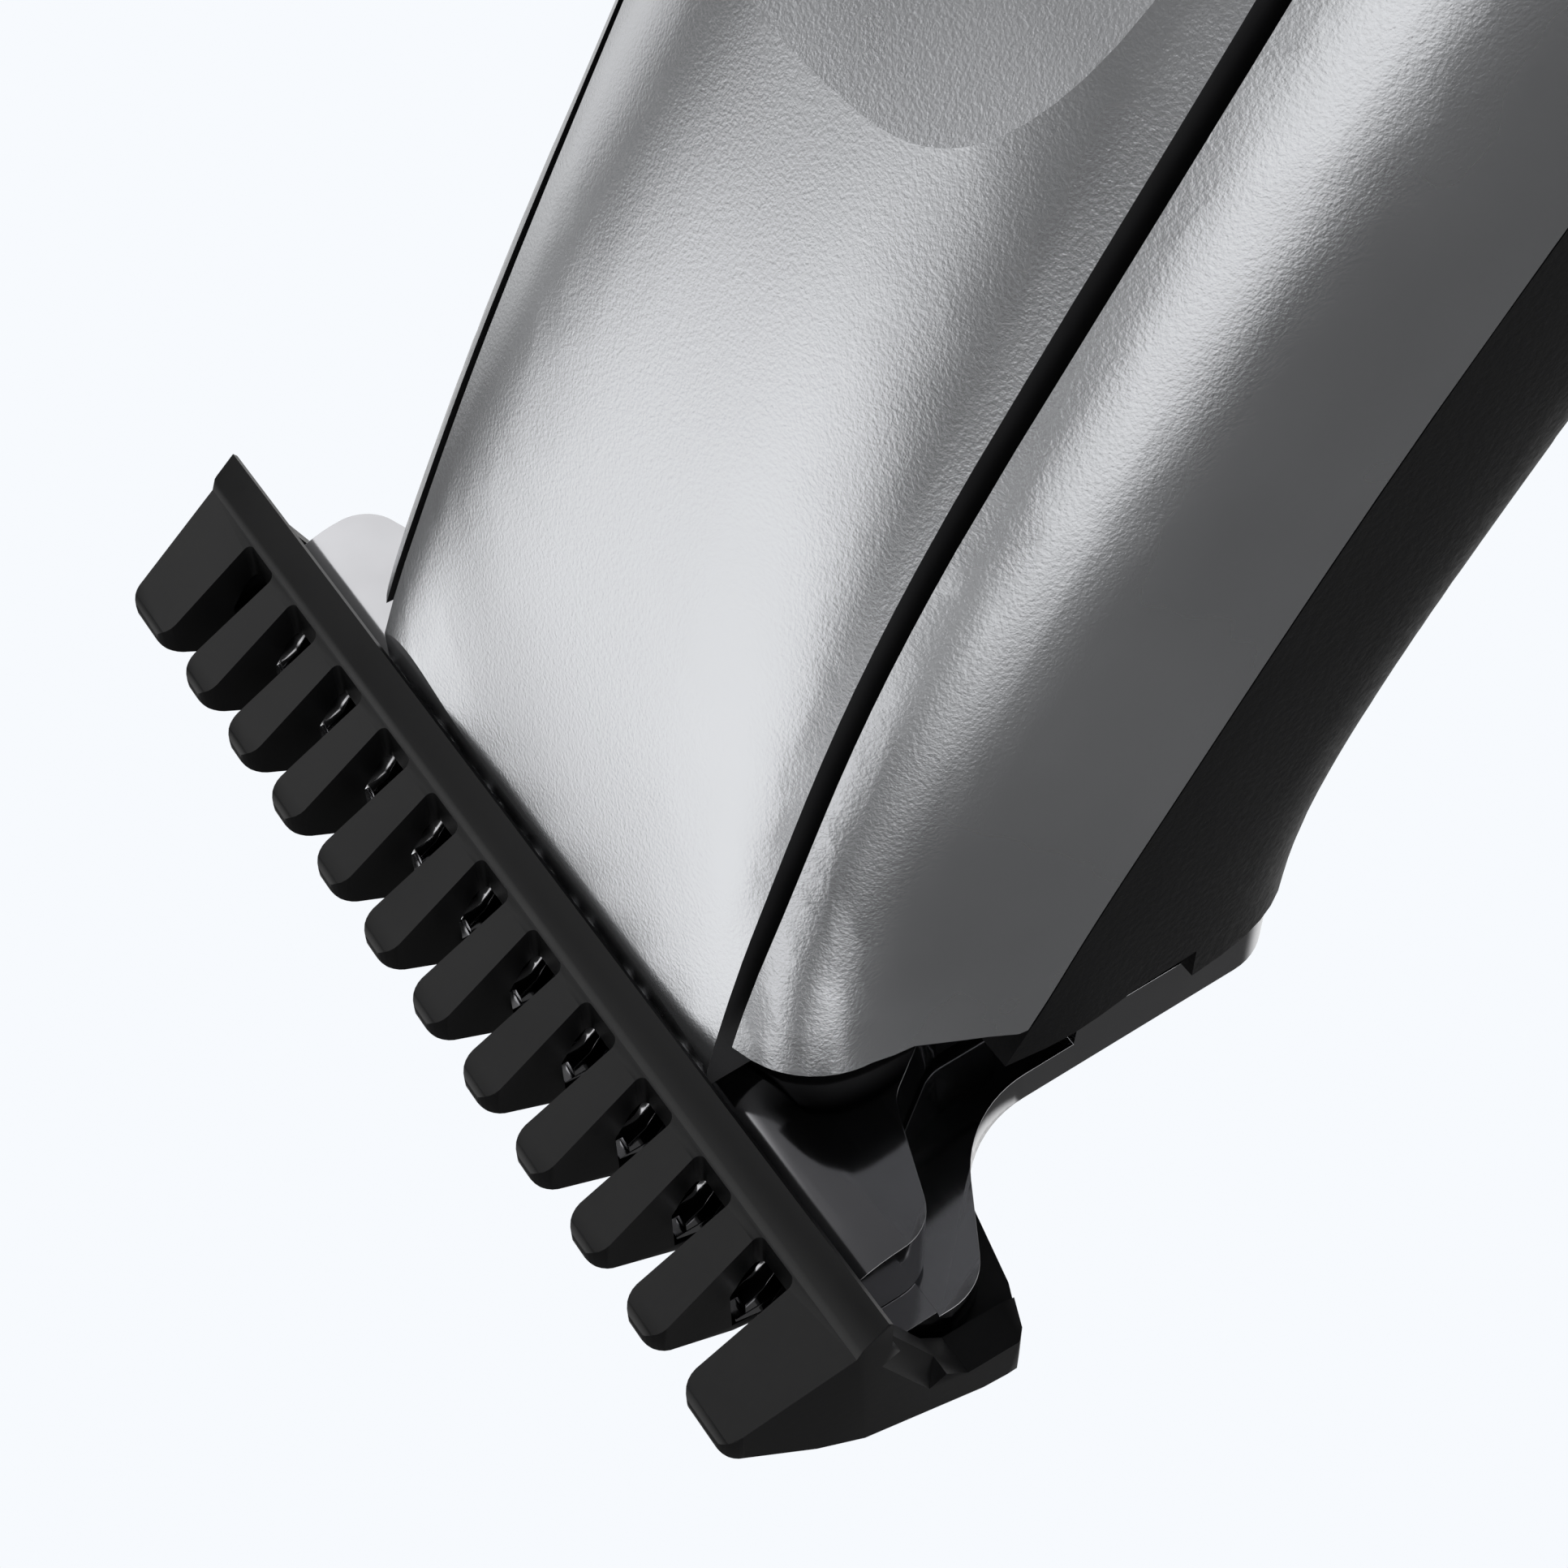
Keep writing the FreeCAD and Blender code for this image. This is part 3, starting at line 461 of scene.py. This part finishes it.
def pale_floor(stage):
    """Pale floor as the camera sees it; what lights the clipper is darker, with two reflectors on it."""
    finish = Finish("floor_pale")
    seen = finish.add("ShaderNodeLightPath", {}, {}, "Is Camera Ray")
    across = finish.toward((1.0, 0.0, 0.0))
    card = finish.soft_edge(across, *CARD_RIGHT) + finish.soft_edge(across, *CARD_LEFT)
    cloud = finish.noise(400.0 * MM)
    base = finish.mix(cloud, (0.78, 0.79, 0.80), (0.82, 0.83, 0.84))
    base = finish.mix(seen, (0.28, 0.28, 0.29), base)
    reflected = finish.mix(card, (0.0, 0.0, 0.0), (stage.card, stage.card, stage.card))
    glow = finish.mix(seen, reflected, (0.62, 0.63, 0.65))
    return finish.finished(Base_Color=base, Roughness=0.7, Emission_Color=glow, Emission_Strength=1.0)


class Room(Finish):
    """The world's shader, with soft lights in given directions."""

    def __init__(self, tree):
        self.tree = tree
        self.tree.nodes.clear()
        self.place = self.add("ShaderNodeTexCoord", {}, {}, "Generated")

    def glow(self, direction, outer, inner, strength):
        """A round soft light, from nothing at the outer cosine to full at the inner one."""
        near = self.toward(Vector(direction).normalized())
        return self.soft_edge(near, outer, inner) * strength

    def finished(self, light, backdrop):
        """Ends the tree: the camera sees the backdrop, and all else is lit by the lights."""
        path = self.add("ShaderNodeLightPath", {}, {}, "Is Camera Ray")
        lamps = self.add("ShaderNodeBackground", {}, {"Color": (1.0, 1.0, 1.0, 1.0), "Strength": light})
        seen = self.add("ShaderNodeBackground", {}, {"Color": (*backdrop, 1.0), "Strength": 1.0})
        both = self.add("ShaderNodeMixShader", {}, {0: path, 1: lamps, 2: seen})
        self.add("ShaderNodeOutputWorld", {}, {"Surface": both})


class CLIPPER_PT_panel(bpy.types.Panel):
    """Shows a button for each of the clipper's steps"""
    bl_idname = "CLIPPER_PT_panel"
    bl_label = "Hair clipper"
    bl_space_type = "VIEW_3D"
    bl_region_type = "UI"
    bl_category = "Clipper"

    def draw(self, context):
        for operator in OPERATORS:
            self.layout.operator(operator.bl_idname)


OPERATORS = (CLIPPER_OT_casing, CLIPPER_OT_blades, CLIPPER_OT_inside, CLIPPER_OT_stage)
CLASSES = (ClipperLooks, ClipperStage, *OPERATORS, CLIPPER_PT_panel)


def register():
    for cls in CLASSES:
        bpy.utils.register_class(cls)
    bpy.types.Scene.clipper_looks = PointerProperty(type=ClipperLooks)
    bpy.types.Scene.clipper_stage = PointerProperty(type=ClipperStage)


def unregister():
    del bpy.types.Scene.clipper_looks
    del bpy.types.Scene.clipper_stage
    for cls in reversed(CLASSES):
        bpy.utils.unregister_class(cls)


def main():
    """Builds the whole clipper and its stage."""
    register()
    for operator in OPERATORS:
        group, name = operator.bl_idname.split(".")
        getattr(getattr(bpy.ops, group), name)()


if __name__ == "__main__":
    main()
